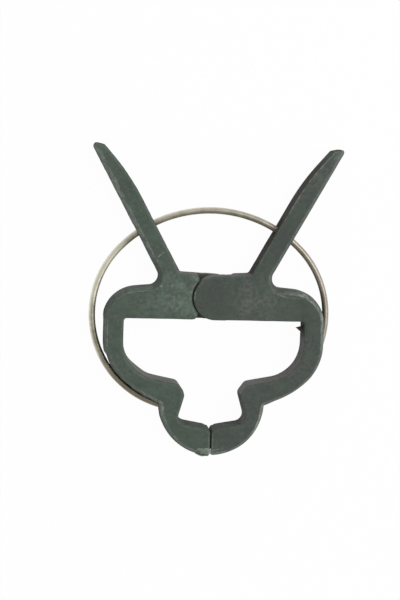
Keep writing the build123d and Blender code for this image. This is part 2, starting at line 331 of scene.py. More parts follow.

# Finish of the wire: painted shade on its inner side, in shares of its radius, and, in metres from the
# hinge, painted shade low down and a painted highlight at the upper left
WIRE_ROUGHNESS = (0.32, 0.5)
WIRE_METAL = 0.85
DRAWN_SCALE = (9.0, 9.0, 120.0)
DRAWN_RANGE = (0.2, 0.8)
DRAWN_DEPTH = 0.00003
INNER_SIDE = (-0.85, 0.15)
INNER_SHADE = 0.7
CLOUD_DULL = 0.3
LOW_PLACE = (-0.009, -0.016)
LOW_SHADE = 0.85
HIGHLIGHT_SIDE = (-0.0155, -0.0185)
HIGHLIGHT_FLOOR = (-0.003, 0.001)
LEFT_HIGHLIGHT = 0.6

# Inputs of the ring's node tree
RING_INPUTS = (
    ("NodeSocketFloat", ("Side Radius", "Side Offset", "Side Depth", "Top Radius", "Top Depth", "Turn",
                         "First Heading", "Last Heading", "Shift", "Height", "Wire Radius")),
    ("NodeSocketInt", ("Steps", "Sides")),
    ("NodeSocketMaterial", ("Material",)),
)

# Floor and lamp, in metres, and the floor's white
FLOOR_HALF_WIDTH = 1.5
FLOOR_HEIGHT = -0.00005
FLOOR_WHITE = 0.9
FLOOR_GLOW = 0.97
LAMP_PLACE = (0.26, 0.10, 0.40)
LAMP_SIZE = 0.3


# Settings that a user would change

class ClipLeverSettings(bpy.types.PropertyGroup):
    """Skin and plastic of the levers"""
    skin_cell: FloatProperty(
        name="Skin cell", description="Cell of the even mesh that skins each lever",
        default=0.000156, unit="LENGTH", precision=6)
    wobble: FloatProperty(
        name="Wobble", description="Depth of the slow waves that moulding leaves in a surface",
        default=0.00003, unit="LENGTH", precision=6)
    seam_height: FloatProperty(
        name="Seam height", description="Height of the parting line along the side walls",
        default=0.00005, unit="LENGTH", precision=6)
    seam_width: FloatProperty(
        name="Seam width", description="Half width of the parting line",
        default=0.00018, unit="LENGTH", precision=6)
    nick_depth: FloatProperty(
        name="Nick depth", description="Depth of the nicks along the edges of the faces",
        default=0.00007, unit="LENGTH", precision=6)
    left_colour: FloatVectorProperty(
        name="Left colour", description="Plastic of the left lever",
        default=(0.077, 0.103, 0.082), size=3, subtype="COLOR", min=0, max=1)
    right_colour: FloatVectorProperty(
        name="Right colour", description="Plastic of the right lever",
        default=(0.072, 0.087, 0.075), size=3, subtype="COLOR", min=0, max=1)
    # Pale colour of rubs and specks, and of edges that are partly wear and partly painted highlight
    wear_and_highlight_colour: FloatVectorProperty(
        name="Rubbed colour", description="Plastic where it is rubbed pale",
        default=(0.36, 0.39, 0.35), size=3, subtype="COLOR", min=0, max=1)
    # Painted sheen: lighter grey on walls that face the handles, standing in for the light they catch
    wall_sheen_colour: FloatVectorProperty(
        name="Ledge colour", description="Walls that face the handles, greyed by dust",
        default=(0.222, 0.215, 0.206), size=3, subtype="COLOR", min=0, max=1)
    # Painted shade: dark colour on the right lever's walls that face left, in the hinge's seat and over the
    # whole nib
    shaded_colour: FloatVectorProperty(
        name="Shaded colour", description="Unpolished walls inside the right lever, and the hinge's seat",
        default=(0.062, 0.058, 0.051), size=3, subtype="COLOR", min=0, max=1)


class ClipFlashSettings(bpy.types.PropertyGroup):
    """Scraps that the mould leaves"""
    flake_thickness: FloatProperty(
        name="Flake thickness", description="Thickness of the film that the gate leaves",
        default=0.00006, unit="LENGTH", precision=6)
    flake_bed: FloatProperty(
        name="Flake bed", description="How far the jaw's face is sunk under the film",
        default=0.00012, unit="LENGTH", precision=6)
    flake_droop: FloatProperty(
        name="Flake droop", description="How far the film's lower edge hangs down",
        default=0.0007, unit="LENGTH", precision=6)
    nib_radius: FloatProperty(
        name="Nib radius", description="Half height of the nib at its root",
        default=0.00092, unit="LENGTH", precision=6)
    flake_colour: FloatVectorProperty(
        name="Flake colour", description="Thin film of plastic",
        default=(0.165, 0.210, 0.160), size=3, subtype="COLOR", min=0, max=1)
    torn_colour: FloatVectorProperty(
        name="Torn colour", description="Torn edges of the film",
        default=(0.36, 0.41, 0.35), size=3, subtype="COLOR", min=0, max=1)


class ClipRingSettings(bpy.types.PropertyGroup):
    """Arcs and plating of the wire ring"""
    middle_depth: FloatProperty(
        name="Middle depth", description="How far the ring's widest place lies below the hinge",
        default=0.00335, unit="LENGTH", precision=5)
    turn_angle: FloatProperty(
        name="Turn angle", description="Heading at which the side arcs meet the flatter top arc",
        default=radians(45), subtype="ANGLE")
    end_offset: FloatProperty(
        name="End offset", description="How far each wire end lies from the middle of the clip",
        default=0.0083, unit="LENGTH", precision=5)
    bow_angle: FloatProperty(
        name="Bow angle", description="Heading at which the bow that bends meets each side",
        default=radians(22), subtype="ANGLE")
    step: FloatProperty(
        name="Step", description="Turn of the wire from one ring of points to the next",
        default=radians(0.8), subtype="ANGLE")
    sides: IntProperty(
        name="Sides", description="Sides round the wire", default=28, min=6)
    # The plating goes from the bright colour on the left to the dim colour on the right, as painted
    # reflection
    bright_colour: FloatVectorProperty(
        name="Bright colour", description="Pale yellow plating of the wire",
        default=(0.92, 0.89, 0.74), size=3, subtype="COLOR", min=0, max=1)
    dim_plating_colour: FloatVectorProperty(
        name="Bare colour", description="Steel of the right side, where the plating is thin",
        default=(0.50, 0.45, 0.41), size=3, subtype="COLOR", min=0, max=1)
    # Tarnish in clouds, and painted shade on the wire's inside and low down
    tarnish_and_shade_colour: FloatVectorProperty(
        name="Tarnish colour", description="Plating where it has dulled",
        default=(0.20, 0.18, 0.128), size=3, subtype="COLOR", min=0, max=1)


class ClipStageSettings(bpy.types.PropertyGroup):
    """Camera and light"""
    distance: FloatProperty(
        name="Camera distance", description="From the hinge to the camera",
        default=0.30, unit="LENGTH")
    lean_left: FloatProperty(
        name="Lean left", description="How far the camera leans to the left lever",
        default=0.0991, subtype="ANGLE")
    lean_up: FloatProperty(
        name="Lean up", description="How far the camera leans to the handles",
        default=0.1114, subtype="ANGLE")
    roll: FloatProperty(
        name="Roll", description="Turn of the camera about its view", default=0.0332, subtype="ANGLE")
    sky: FloatProperty(
        name="Sky", description="Strength of the even light from all round", default=0.60, min=0)
    key: FloatProperty(
        name="Key", description="Power of the large soft lamp", default=1.05, min=0, subtype="POWER")


# Small tools for meshes

def add_object(name, mesh):
    """Put a mesh in the scene, at the origin."""
    piece = bpy.data.objects.new(name, mesh)
    bpy.context.scene.collection.objects.link(piece)
    return piece


def freeze(piece):
    """Turn a piece and its modifiers into one plain mesh."""
    graph = bpy.context.evaluated_depsgraph_get()
    mesh = bpy.data.meshes.new_from_object(piece.evaluated_get(graph))
    piece.modifiers.clear()
    old = piece.data
    piece.data = mesh
    mesh.name = piece.name
    bpy.data.meshes.remove(old)
    return piece


def rows_of(mesh, kind):
    """All points of a mesh as rows: their places by the kind co, or their normals by the kind normal."""
    rows = np.empty(len(mesh.vertices) * 3)
    mesh.vertices.foreach_get(kind, rows)
    return rows.reshape(-1, 3)


def move_points(mesh, rows):
    """Write the points of a mesh back."""
    mesh.vertices.foreach_set("co", rows.ravel())
    mesh.update()


def store_value(mesh, name, values):
    """Keep one number for each point under a name that a material reads."""
    layer = mesh.attributes.new(name, "FLOAT", "POINT")
    layer.data.foreach_set("value", values.astype(np.float32))


def ramp(values, low, high):
    """Smooth step from 0 at low to 1 at high."""
    part = np.clip((values - low) / (high - low), 0, 1)
    return part * part * (3 - 2 * part)


def band(values, rise, fall):
    """1 between a rise and a fall, each given by where it begins and where it ends."""
    return ramp(values, *rise) * (1 - ramp(values, *fall))


def waves(points, size, seed):
    """Noise from -1 to 1 with waves of about the given size, one number for each point."""
    shift = Vector([seed * step for step in NOISE_STEP])
    return np.array([noise.noise(Vector(p) / size + shift) for p in points])


def hill(places, centre, reach):
    """1 at a place in the plane of the clip, falling away over its reach, all in millimetres."""
    away = (places[:, :2] - np.array(centre)) / np.array(reach)
    return np.exp(-(away * away).sum(axis=1))


def marks(places, lines):
    """Strength of the marks at each place, the strongest one where some meet, all in millimetres."""
    total = np.zeros(len(places))
    for start, end, reach, strength in lines:
        run = np.array(end) - np.array(start)
        part = np.clip((places[:, :2] - np.array(start)) @ run / (run @ run), 0, 1)
        away = np.linalg.norm(places[:, :2] - np.array(start) - part[:, None] * run, axis=1)
        total = np.maximum(total, strength * (1 - ramp(away, 0, reach)))
    return total


# Levers

def even_skin(node, name, cell):
    """Closed copy of a node with even cells, laid back on the node's own surface."""
    shape = bmesh.new()
    shape.from_mesh(frame["nodes"][node].data)
    bmesh.ops.remove_doubles(shape, verts=shape.verts, dist=MERGE_DISTANCE)
    tree = BVHTree.FromBMesh(shape)
    mesh = bpy.data.meshes.new(name)
    shape.to_mesh(mesh)
    shape.free()
    piece = add_object(name, mesh)
    remesh = piece.modifiers.new("Even cells", "REMESH")
    remesh.mode = "VOXEL"
    remesh.voxel_size = cell
    remesh.use_smooth_shade = True
    freeze(piece)
    rows = np.array([tree.find_nearest(Vector(p))[0] for p in rows_of(piece.data, "co")])
    move_points(piece.data, rows)
    return piece


def outer_side(places, normals):
    """1 on walls and edges that face out, 0 where they face the window, the pocket or the other handle."""
    height = np.where(places[:, 1] > BAR_TOP, HANDLE_MIDDLE, WINDOW_MIDDLE)
    height = np.where(places[:, 1] < JAW_TOP, POCKET_MIDDLE, height)
    away = np.stack([places[:, 0], places[:, 1] - height], axis=1)
    away = away / np.linalg.norm(away, axis=1)[:, None]
    return ramp((away * normals[:, :2]).sum(axis=1), *OUTER_FACING)


def seam_walls(places, wall):
    """1 on the walls of the hinge's seat and of the jaw tips, which nearly touch."""
    from_axis = np.hypot(places[:, 0], places[:, 1])
    seat = 1 - ramp(np.abs(from_axis - SEAT_RADIUS), *SEAT_SPREAD)
    tips = (1 - ramp(np.abs(places[:, 0]), *TIP_SPREAD)) * ramp(-places[:, 1], *TIP_DEPTHS)
    return wall * np.maximum(seat, tips)


def stub_taper(places):
    """Shift that brings the gate stub, outside the jaw's round, to a point, and the stub's mask."""
    away = np.stack([places[:, 0], places[:, 1] + JAW_DEPTH], axis=1)
    radius = np.linalg.norm(away, axis=1)
    proud = np.where(places[:, 1] < -JAW_DEPTH, np.maximum(0, radius - JAW_RADIUS), 0)
    keep = np.clip(1 - np.abs(places[:, 0] - STUB_OFFSET) / STUB_HALF_WIDTH, 0, 1)
    return -(proud * (1 - keep) / radius)[:, None] * away, ramp(proud, *STUB_FILM)


def surface_of(mesh):
    """A lever's points before it is moulded, and what kind of place each of them is."""
    points = rows_of(mesh, "co")
    normals = rows_of(mesh, "normal")
    places = points / MILLIMETRE
    upright = np.abs(normals[:, 2])
    stub_shift, stub = stub_taper(places)
    return SimpleNamespace(
        points=points, normals=normals, places=places, upright=upright, stub_shift=stub_shift, stub=stub,
        front=ramp(normals[:, 2], *FACE_TILT),
        wall=1 - ramp(upright, *WALL_TILT),
        rim=band(upright, RIM_TILT, FLAT_TILT),
        bevel=band(upright, BEVEL_TILT, RIM_TILT),
        outer=outer_side(places, normals))


def mould(mesh, surface, settings, look, bed):
    """Give a lever the waves, parting line, nicks, swells and drawn edges of a moulding."""
    places = surface.places
    slow = waves(surface.points, WAVE_SIZE, look["seed"])
    quick = waves(surface.points, NICK_SIZE, look["seed"] + 1)
    near = seam_walls(places, surface.wall)
    from_middle = surface.points[:, 2] - MIDDLE
    seam = np.exp(-(from_middle / settings.seam_width) ** 2) * surface.wall * (1 - near)
    push = settings.wobble * slow * (1 - near) + SEAM_FILL * MILLIMETRE * near
    push = push + settings.seam_height * seam * (SEAM_MEAN + SEAM_SWAY * quick)
    push = push - settings.nick_depth * surface.rim * ramp(quick + NICK_DRIFT * slow, *NICK_BREAK)
    push = push - bed * surface.front * np.minimum(1, BED_SPREAD * hill(places, FLAKE_MIDDLE, FLAKE_REACH))
    for middle, reach, height in look["swells"]:
        swell = height * MILLIMETRE * hill(places, middle, (reach, reach))
        push = push + swell * (1 - surface.outer) * (1 - surface.upright)
    rows = surface.points + surface.normals * push[:, None]
    shift = surface.stub_shift
    groove = 1 - ramp(np.abs(from_middle) / MILLIMETRE, GROOVE_HALF_HEIGHT / 2, GROOVE_HALF_HEIGHT)
    for lines, pull, kept in look["pulls"]:
        share = marks(places, lines) * (1 - (1 - kept) * groove)
        shift = shift + share[:, None] * np.array(pull)
    rows[:, :2] += shift * MILLIMETRE
    move_points(mesh, np.clip(rows, *look["box"]))


def wall_sheen_of(surface, in_pocket):
    """How much painted sheen lightens walls that face the handles: in the window, the pocket and on the
    shoulders.
    """
    height = surface.places[:, 1]
    facing = surface.normals[:, 1]
    window = band(height, WINDOW_FLOOR, WINDOW_CEILING) * ramp(facing, *WINDOW_FACING)
    shoulder = band(height, SHOULDER_FLOOR, SHOULDER_CEILING) * ramp(facing, *SHOULDER_FACING)
    pocket = in_pocket * (1 - ramp(height, *WINDOW_FLOOR))
    return (window + pocket) * (1 - surface.outer) + SHOULDER_SHEEN * shoulder * surface.outer


def paint(mesh, surface, look):
    """Store the masks that a lever's plastic reads."""
    places = surface.places
    # Pale edges, partly wear and partly painted highlight
    worn_and_lit = marks(places, look["worn_and_lit"])
    edge = surface.rim * (RIM_PALE + OUTER_RIM_PALE * surface.outer + worn_and_lit)
    edge = edge + surface.bevel * surface.outer * (BEVEL_PALE + BEVEL_WORN_AND_LIT * worn_and_lit)
    facing = look["shade"] * ramp(-surface.normals[:, 0], *SHADE_FACING) * ramp(places[:, 0], *SHADE_SIDE)
    above = ramp(places[:, 1], *SHADE_FLOOR)
    # Painted sheen on walls that face the handles, and low on the right lever's walls that face left
    sheen = np.maximum(wall_sheen_of(surface, look["pocket"]), LOW_WALL_SHEEN * facing * (1 - above))
    # Patches of tone, some of them painted sheen
    tones_and_sheens = sum(part * hill(places, middle, reach) for middle, reach, part in look["tones_and_sheens"])
    # Painted shade on the right lever's walls that face left, and in the hinge's seat
    walls = surface.wall * facing * above * (1 - ramp(places[:, 1], *SHADE_CEILING))
    seat = SEAT_SHADE * surface.front * ramp(FRONT - surface.points[:, 2], *SEAT_DROP)
    masks = {
        "wear_and_highlight": np.maximum(edge, surface.front * marks(places, look["rubs"])),
        "wall_sheen": surface.wall * sheen,
        "wall": surface.wall,
        "tone_and_sheen": surface.front * tones_and_sheens,
        "film": surface.stub,
        "shaded": np.maximum(walls, seat),
    }
    for name, values in masks.items():
        store_value(mesh, name, values)


# Shader nodes and groups

def new_group(name, inputs, outputs):
    """Empty shader group with named sockets, and its two end nodes."""
    group = bpy.data.node_groups.new(name, "ShaderNodeTree")
    for label, kind in inputs:
        group.interface.new_socket(label, in_out="INPUT", socket_type=kind)
    for label, kind in outputs:
        group.interface.new_socket(label, in_out="OUTPUT", socket_type=kind)
    return group, group.nodes.new("NodeGroupInput"), group.nodes.new("NodeGroupOutput")


def fill(tree, socket, value):
    """Give a socket a number, or a link from another socket."""
    if isinstance(value, bpy.types.NodeSocket):
        tree.links.new(value, socket)
    else:
        socket.default_value = value


def math_node(tree, operation, first, second=None, clamp=False):
    """Math node; each side is a socket or a number."""
    node = tree.nodes.new("ShaderNodeMath")
    node.operation = operation
    node.use_clamp = clamp
    fill(tree, node.inputs[0], first)
    if second is not None:
        fill(tree, node.inputs[1], second)
    return node.outputs[0]


def noise_node(tree, vector, scale, detail=3.0, roughness=0.55):
    """Noise texture on a vector, as a value from about 0 to 1."""
    node = tree.nodes.new("ShaderNodeTexNoise")
    values = {"Vector": vector, "Scale": scale, "Detail": detail, "Roughness": roughness}
    for label, value in values.items():
        fill(tree, node.inputs[label], value)
    return node.outputs["Fac"]


def range_node(tree, value, low, high, to_low=0.0, to_high=1.0):
    """Map a value smoothly from one range to another."""
    node = tree.nodes.new("ShaderNodeMapRange")
    node.interpolation_type = "SMOOTHSTEP"
    tree.links.new(value, node.inputs["Value"])
    node.inputs["From Min"].default_value = low
    node.inputs["From Max"].default_value = high
    node.inputs["To Min"].default_value = to_low
    node.inputs["To Max"].default_value = to_high
    return node.outputs["Result"]


def mix_node(tree, factor, first, second):
    """Mix two colours; each is a socket or a colour."""
    node = tree.nodes.new("ShaderNodeMix")
    node.data_type = "RGBA"
    tree.links.new(factor, node.inputs["Factor"])
    for socket, value in ((node.inputs[6], first), (node.inputs[7], second)):
        if isinstance(value, bpy.types.NodeSocket):
            tree.links.new(value, socket)
        else:
            socket.default_value = (*value[:3], 1)
    return node.outputs[2]


def cloud_group():
    """Soft clouds and fine grain on two scales, for colour, roughness and bump."""
    group, source, sink = new_group(
        "Clouds and grain",
        [("Vector", "NodeSocketVector"), ("Cloud Scale", "NodeSocketFloat"),
         ("Grain Scale", "NodeSocketFloat")],
        [("Clouds", "NodeSocketFloat"), ("Grain", "NodeSocketFloat")])
    clouds = noise_node(group, source.outputs["Vector"], source.outputs["Cloud Scale"], detail=4.0)
    grain = noise_node(group, source.outputs["Vector"], source.outputs["Grain Scale"], detail=2.0)
    group.links.new(range_node(group, clouds, *CLOUD_RANGE), sink.inputs["Clouds"])
    group.links.new(range_node(group, grain, *GRAIN_RANGE), sink.inputs["Grain"])
    return group


def wear_group():
    """Broken wear along an edge mask, and loose specks of dirt."""
    group, source, sink = new_group(
        "Wear and specks",
        [("Vector", "NodeSocketVector"), ("Edge", "NodeSocketFloat"), ("Wear Scale", "NodeSocketFloat"),
         ("Speck Scale", "NodeSocketFloat")],
        [("Wear", "NodeSocketFloat"), ("Specks", "NodeSocketFloat")])
    broken = noise_node(group, source.outputs["Vector"], source.outputs["Wear Scale"], detail=5.0,
                        roughness=0.65)
    rubbed = range_node(group, broken, *WEAR_RANGE, LEAST_WEAR, 1.0)
    group.links.new(math_node(group, "MULTIPLY", source.outputs["Edge"], rubbed), sink.inputs["Wear"])
    dots = noise_node(group, source.outputs["Vector"], source.outputs["Speck Scale"], detail=1.0)
    group.links.new(range_node(group, dots, *SPECK_RANGE), sink.inputs["Specks"])
    return group


def place_group(tree, group, **values):
    """Put a group in a material and set or link its inputs."""
    node = tree.nodes.new("ShaderNodeGroup")
    node.node_tree = group
    for label, value in values.items():
        fill(tree, node.inputs[label.replace("_", " ")], value)
    return node


def separate(tree, vector):
    """The three parts of a vector, by their letters."""
    node = tree.nodes.new("ShaderNodeSeparateXYZ")
    tree.links.new(vector, node.inputs["Vector"])
    return node.outputs


# Materials

def new_material(name):
    """Node material, its tree and its Principled shader."""
    material = bpy.data.materials.new(name)
    material.use_nodes = True
    tree = material.node_tree
    return material, tree, tree.nodes["Principled BSDF"]


def attribute_value(tree, name):
    """Number that a mesh keeps under a name."""
    node = tree.nodes.new("ShaderNodeAttribute")
    node.attribute_name = name
    return node.outputs["Fac"]


def scaled(tree, colour, factor):
    """Colour socket made lighter or darker by a factor socket."""
    node = tree.nodes.new("ShaderNodeVectorMath")
    node.operation = "SCALE"
    tree.links.new(colour, node.inputs[0])
    tree.links.new(factor, node.inputs["Scale"])
    return node.outputs["Vector"]


def tinted(colour, tint):
    """Colour with each part scaled."""
    return [part * share for part, share in zip(colour, tint)]


def finish_surface(tree, shader, colour, roughness):
    """Give a shader its colour and its roughness."""
    tree.links.new(colour, shader.inputs["Base Color"])
    tree.links.new(roughness, shader.inputs["Roughness"])


def add_bump(tree, shader, height, strength, depth):
    """Let a value raise and lower a shader's surface."""
    bump = tree.nodes.new("ShaderNodeBump")
    bump.inputs["Strength"].default_value = strength
    bump.inputs["Distance"].default_value = depth
    tree.links.new(height, bump.inputs["Height"])
    tree.links.new(bump.outputs["Normal"], shader.inputs["Normal"])


def plastic_material(name, colour, settings, film_colour, groups):
    """Grey-green moulded plastic: clouded and grained, paler where rubbed, with pale edges that are partly
    wear and partly painted highlight, painted sheen on walls that face the handles, and painted shade on the
    right lever's walls, the hinge's seat and the nib.
    """
    material, tree, shader = new_material(name)
    place = tree.nodes.new("ShaderNodeTexCoord").outputs["Object"]
    clouds = place_group(tree, groups["clouds"], Vector=place, Cloud_Scale=330.0, Grain_Scale=3800.0)
    hues = place_group(tree, groups["clouds"], Vector=place, Cloud_Scale=610.0, Grain_Scale=1500.0)
    wear = place_group(tree, groups["wear"], Vector=place, Edge=attribute_value(tree, "wear_and_highlight"),
                       Wear_Scale=900.0, Speck_Scale=2600.0)
    cloud = clouds.outputs["Clouds"]
    greener = mix_node(tree, cloud, tinted(colour, GREEN_DARK), tinted(colour, GREEN_PALE))
    browner = mix_node(tree, hues.outputs["Grain"], tinted(colour, BROWN_DARK), tinted(colour, BROWN_PALE))
    body = mix_node(tree, hues.outputs["Clouds"], greener, browner)
    # Paler or darker patches; the pale ones on the left bar by the hinge and at the handle tips are painted
    # sheen
    mottle = range_node(tree, math_node(tree, "ADD", hues.outputs["Grain"], cloud), 0.0, 2.0, *TONE_SHEEN_MOTTLE)
    tone_and_sheen = math_node(tree, "MULTIPLY", attribute_value(tree, "tone_and_sheen"), mottle)
    tone_and_sheen = math_node(tree, "MULTIPLY", tone_and_sheen, TONE_SHEEN_STRENGTH)
    body = scaled(tree, body, math_node(tree, "ADD", tone_and_sheen, 1.0))
    specks = math_node(tree, "MULTIPLY", wear.outputs["Specks"], SPECK_STRENGTH)
    body = mix_node(tree, specks, body, settings.wear_and_highlight_colour)
    # Painted sheen on walls that face the handles, thinned by the clouds
    sheen = range_node(tree, cloud, 0.0, 1.0, *SHEEN_IN_CLOUDS)
    wall_sheen = math_node(tree, "MULTIPLY", attribute_value(tree, "wall_sheen"), sheen)
    body = mix_node(tree, wall_sheen, body, settings.wall_sheen_colour)
    body = mix_node(tree, attribute_value(tree, "film"), body, film_colour)
    # Pale edges and rubs, partly wear and partly painted highlight
    body = mix_node(tree, wear.outputs["Wear"], body, settings.wear_and_highlight_colour)
    # Painted shade on the right lever's walls, the hinge's seat and the nib
    body = mix_node(tree, attribute_value(tree, "shaded"), body, settings.shaded_colour)
    rough = range_node(tree, cloud, 0.0, 1.0, *PLASTIC_ROUGHNESS)
    dull = math_node(tree, "MULTIPLY", attribute_value(tree, "wall"), WALL_ROUGHNESS)
    rough = math_node(tree, "ADD", rough, dull, clamp=True)
    shader.inputs["Specular IOR Level"].default_value = PLASTIC_GLOSS
    finish_surface(tree, shader, body, rough)
    add_bump(tree, shader, clouds.outputs["Grain"], strength=0.22, depth=GRAIN_DEPTH)
    return material


def flake_material(settings, groups):
    """Thin pale film, whiter where it is torn."""
    material, tree, shader = new_material("moulding_film")
    place = tree.nodes.new("ShaderNodeTexCoord").outputs["Object"]
    clouds = place_group(tree, groups["clouds"], Vector=place, Cloud_Scale=1100.0, Grain_Scale=5200.0)
    wear = place_group(tree, groups["wear"], Vector=place, Edge=attribute_value(tree, "torn"),
                       Wear_Scale=2100.0, Speck_Scale=4200.0)
    body = mix_node(tree, clouds.outputs["Clouds"], tinted(settings.flake_colour, FILM_DARK),
                    settings.flake_colour)
    body = mix_node(tree, wear.outputs["Wear"], body, settings.torn_colour)
    finish_surface(tree, shader, body, range_node(tree, clouds.outputs["Clouds"], 0.0, 1.0, *FILM_ROUGHNESS))
    add_bump(tree, shader, clouds.outputs["Grain"], strength=0.3, depth=GRAIN_DEPTH)
    return material


def wire_material(settings, groups):
    """Drawn wire with pale yellow plating, brighter on the left as painted reflection, dulled in clouds,
    with painted shade on its inside and low down, and a painted highlight at the upper left.
    """
    material, tree, shader = new_material("spring_wire")
    on_wire = tree.nodes.new("ShaderNodeAttribute")
    on_wire.attribute_name = "wire_place"
    place = tree.nodes.new("ShaderNodeTexCoord").outputs["Object"]
    where = separate(tree, place)
    clouds = place_group(tree, groups["clouds"], Vector=place, Cloud_Scale=420.0, Grain_Scale=5200.0)
    lines = tree.nodes.new("ShaderNodeMapping")
    lines.inputs["Scale"].default_value = DRAWN_SCALE
    tree.links.new(on_wire.outputs["Vector"], lines.inputs["Vector"])
    drawn = noise_node(tree, lines.outputs["Vector"], scale=1.0, detail=2.0)
    # Painted shade on the side of the wire that faces the hinge, added to the cloudy tarnish
    inward = math_node(tree, "MULTIPLY", separate(tree, on_wire.outputs["Vector"])["X"], -1.0)
    inner_shade = math_node(tree, "MULTIPLY", range_node(tree, inward, *INNER_SIDE), INNER_SHADE)
    dull = math_node(tree, "MULTIPLY", clouds.outputs["Clouds"], CLOUD_DULL)
    dull = math_node(tree, "ADD", dull, inner_shade, clamp=True)
    # Painted highlight at the upper left, which takes the dulling away there
    beside = range_node(tree, where["X"], *HIGHLIGHT_SIDE)
    above = range_node(tree, where["Y"], *HIGHLIGHT_FLOOR)
    highlight = math_node(tree, "MULTIPLY", math_node(tree, "MULTIPLY", beside, above), -LEFT_HIGHLIGHT)
    dull = math_node(tree, "MULTIPLY", dull, math_node(tree, "ADD", highlight, 1.0))
    # Painted reflection: the plating is brighter on the left than on the right
    reflection_fade = range_node(tree, where["X"], -RING_REACH, RING_REACH)
    plating = mix_node(tree, reflection_fade, settings.bright_colour, settings.dim_plating_colour)
    # Painted shade on the low part of the wire, beside the left arm
    low = range_node(tree, where["Y"], *LOW_PLACE, 0.0, LOW_SHADE)
    plating = mix_node(tree, low, plating, settings.tarnish_and_shade_colour)
    colour = mix_node(tree, dull, plating, settings.tarnish_and_shade_colour)
    shader.inputs["Metallic"].default_value = WIRE_METAL
    finish_surface(tree, shader, colour, range_node(tree, drawn, *DRAWN_RANGE, *WIRE_ROUGHNESS))
    add_bump(tree, shader, drawn, strength=0.25, depth=DRAWN_DEPTH)
    return material


def shared_groups():
    """Shader groups that more than one material uses, built once."""
    found = bpy.data.node_groups
    clouds = found.get("Clouds and grain") or cloud_group()
    wear = found.get("Wear and specks") or wear_group()
    return {"clouds": clouds, "wear": wear}


# Moulding flash

def flash_mesh(shape, name, mask, values):
    """Smooth mesh from a finished shape, with one mask stored."""
    mesh = bpy.data.meshes.new(name)
    shape.to_mesh(mesh)
    shape.free()
    store_value(mesh, mask, np.array(values))
    mesh.shade_smooth()
    return mesh


def flake_spot(across, down):
    """Place on the film in millimetres, and how near its rim that is, from 0 to 1."""
    first, bend, last = [Vector(corner) for corner in FLAKE_BOTTOM]
    top = Vector(FLAKE_TOP[0]).lerp(Vector(FLAKE_TOP[1]), across)
    bottom = first.lerp(bend, across).lerp(bend.lerp(last, across), across)
    spot = top.lerp(bottom, down)
    rim = max(abs(2 * across - 1), abs(2 * down - 1)) ** FLAKE_RIM_POWER
    ragged = noise.noise(Vector((spot.x * FLAKE_TEARS, spot.y * FLAKE_TEARS, FLAKE_TEAR_LAYER)))
    return spot + Vector([stray * ragged * rim for stray in FLAKE_STRAY]), rim


def flake_mesh(settings):
    """Film over the gate: a bowed patch with a ragged rim, which hangs over the jaw's bevel."""
    shape = bmesh.new()
    torn = []
    rows = []
    for row in range(FLAKE_ROWS + 1):
        down = row / FLAKE_ROWS
        sag = settings.flake_droop * max(0.0, down - DROOP_START) ** 2 / DROOP_RUN
        line = []
        for column in range(FLAKE_COLUMNS + 1):
            across = column / FLAKE_COLUMNS
            spot, rim = flake_spot(across, down)
            wave = Vector((spot.x * FLAKE_RIPPLES, spot.y * FLAKE_RIPPLES, FLAKE_RIPPLE_LAYER))
            ripple = FLAKE_RIPPLE * (1 + noise.noise(wave))
            height = FRONT - settings.flake_thickness - FLAKE_SETBACK - sag - ripple
            line.append(shape.verts.new((spot.x * MILLIMETRE, spot.y * MILLIMETRE, height)))
            tear = min(1.0, max(0.0, (across - TEAR_START) * TEAR_RISE))
            torn.append(max(TORN_RIM * rim, tear))
        rows.append(line)
    for upper, lower in zip(rows, rows[1:]):
        for column in range(FLAKE_COLUMNS):
            shape.faces.new((upper[column], lower[column], lower[column + 1], upper[column + 1]))
    return flash_mesh(shape, "gate_flake", "torn", torn)


def nib_mesh(settings):
    """Thorn of plastic that thins to a tip, with its root inside the wall, painted all over with the shade
    colour.
    """
    shape = bmesh.new()
    root = Vector(NIB_ROOT) * MILLIMETRE
    tip = Vector(NIB_TIP) * MILLIMETRE
    loops = []
    for step in range(NIB_STEPS + 1):
        along = step / NIB_STEPS
        middle = root.lerp(tip, along)
        size = settings.nib_radius * max(NIB_BLUNTNESS, 1 - along)
        loop = []
        for side in range(NIB_SIDES):
            turn = 2 * pi * side / NIB_SIDES
            wave = (along * NIB_WAVES_ALONG, cos(turn) * NIB_WAVES_ROUND, sin(turn) * NIB_WAVES_ROUND)
            rough = 1 + NIB_UNEVENNESS * noise.noise(Vector(wave))
            offset = Vector((0, cos(turn) * size * rough, sin(turn) * size * rough))
            loop.append(shape.verts.new(middle + offset))
        loops.append(loop)
    for near, far in zip(loops, loops[1:]):
        for side in range(NIB_SIDES):
            following = (side + 1) % NIB_SIDES
            shape.faces.new((near[side], near[following], far[following], far[side]))
    shape.faces.new(loops[0])
    shape.faces.new(loops[-1])
    bmesh.ops.recalc_face_normals(shape, faces=shape.faces)
    return flash_mesh(shape, "wall_nib", "shaded", np.ones(len(shape.verts)))


# Wire ring

def ring_arcs(settings):
    """Radii and centres of the ring's three arcs, and the headings where its pieces begin and end."""
    lift = 1 / cos(settings.turn_angle) - tan(settings.turn_angle)
    side_radius = (RING_TOP + settings.middle_depth - RING_REACH * lift) / (1 - lift)
    side_offset = RING_REACH - side_radius
    top_radius = side_radius + side_offset / cos(settings.turn_angle)
    top_depth = settings.middle_depth + side_offset * tan(settings.turn_angle)
    right_run = settings.end_offset - side_offset - RING_SHIFT
    left_run = settings.end_offset - side_offset + RING_SHIFT
    arcs = {
        "Side Radius": side_radius,
        "Side Offset": side_offset,
        "Side Depth": settings.middle_depth,
        "Top Radius": top_radius,
        "Top Depth": top_depth,
        "Turn": settings.turn_angle,
        "Shift": RING_SHIFT,
        "Height": MIDDLE,
        "Wire Radius": WIRE_RADIUS,
    }
    headings = (
        -acos(right_run / side_radius),
        settings.bow_angle,
        pi - settings.bow_angle,
        pi + acos(left_run / side_radius),
    )
    return arcs, headings


